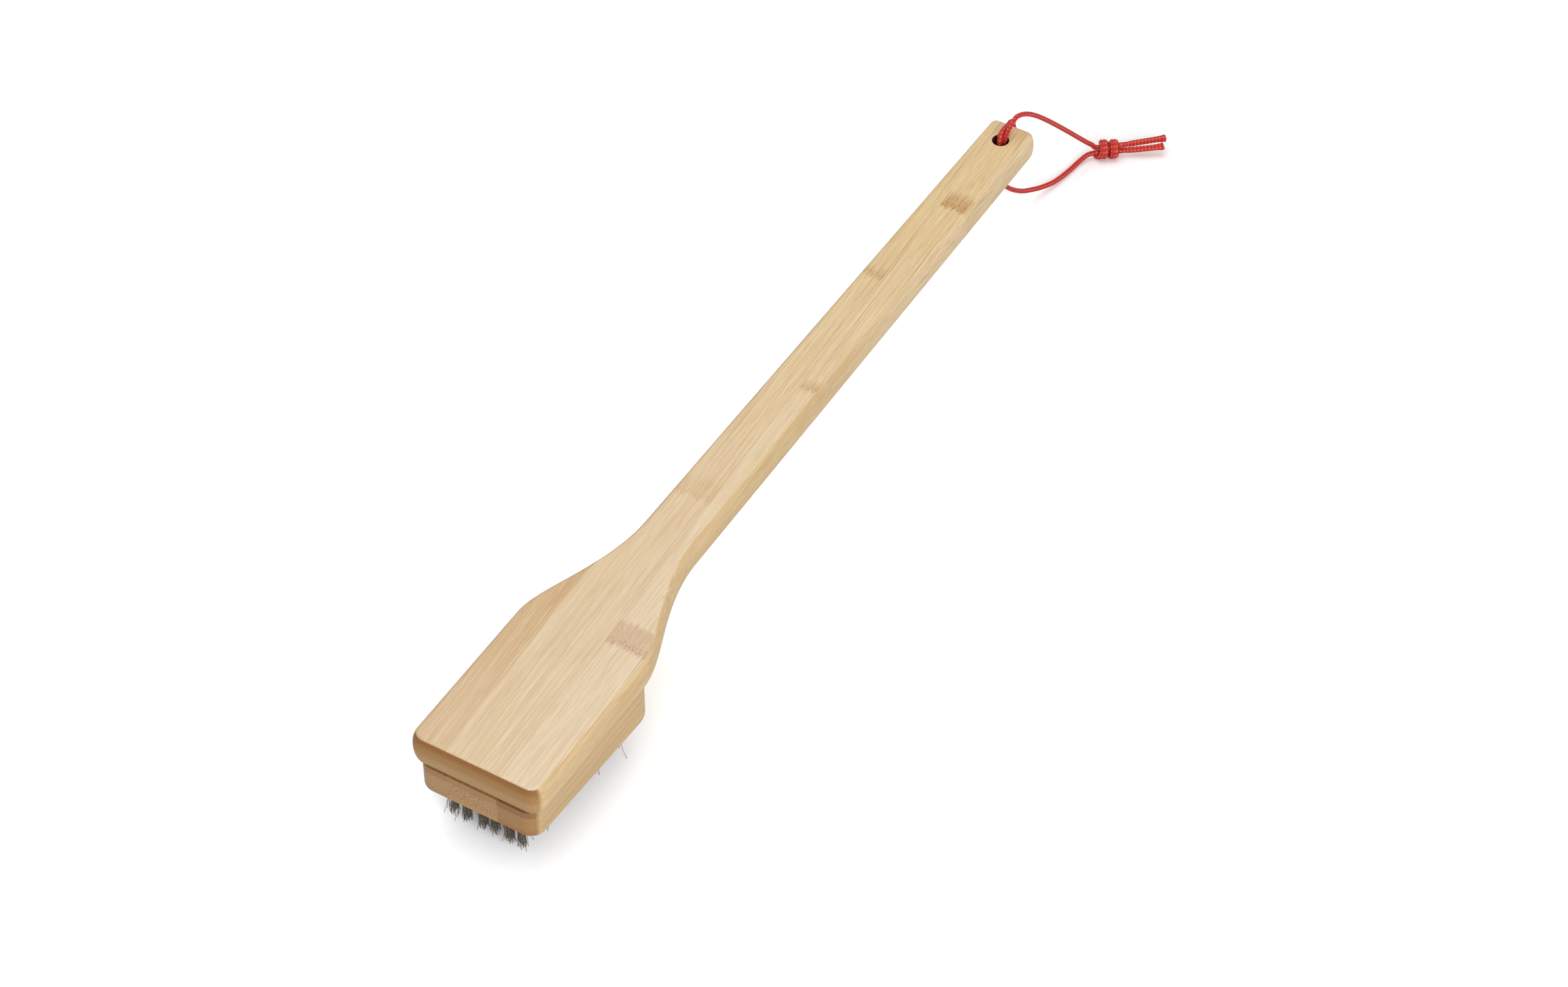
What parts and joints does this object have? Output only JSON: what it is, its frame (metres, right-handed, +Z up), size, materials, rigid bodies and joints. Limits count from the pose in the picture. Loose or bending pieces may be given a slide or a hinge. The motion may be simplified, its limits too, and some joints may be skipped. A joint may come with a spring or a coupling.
{
  "type": "grill brush",
  "caption": "Long-handled bamboo grill brush with a block of steel wire tufts under its paddle head and a knotted hanging cord through the handle's end.",
  "frame": {"origin": "on the surface the brush stands on, under the middle of its length and width, measured without the cord", "axes": "+X along the board from the head to the end of the handle, +Y to the left as seen from above with the head in front, +Z up out of the board's top face"},
  "size_m": [0.5379, 0.0776, 0.0651],
  "materials": {
    "bamboo_board": "oiled bamboo, strips glued edge to edge",
    "bamboo_block": "oiled bamboo plywood with rounded edges",
    "steel_wire": "dull grey-brown wire",
    "red_cord": "red braided cord with pale flecks"
  },
  "bodies": {
    "root": {"board_strip_left": "bamboo_board", "board_strip_middle": "bamboo_board", "board_strip_right": "bamboo_board", "block_top_ply_left": "bamboo_block", "block_top_ply_centre": "bamboo_block", "block_top_ply_right": "bamboo_block", "block_middle_ply_left": "bamboo_block", "block_middle_ply_centre": "bamboo_block", "block_middle_ply_right": "bamboo_block", "block_lower_ply_left": "bamboo_block", "block_lower_ply_centre": "bamboo_block", "block_lower_ply_right": "bamboo_block", "tuft_row_01": "steel_wire", "tuft_row_02": "steel_wire", "tuft_row_03": "steel_wire", "tuft_row_04": "steel_wire", "tuft_row_05": "steel_wire", "tuft_row_06": "steel_wire", "tuft_row_07": "steel_wire", "tuft_row_08": "steel_wire", "tuft_row_09": "steel_wire", "tuft_row_10": "steel_wire", "tuft_row_11": "steel_wire", "cord_upper_strand": "red_cord", "cord_end_turn": "red_cord", "cord_lower_strand": "red_cord", "cord_knot": "red_cord", "cord_tail_upper": "red_cord", "cord_tail_lower": "red_cord"}
  },
  "joints": []
}
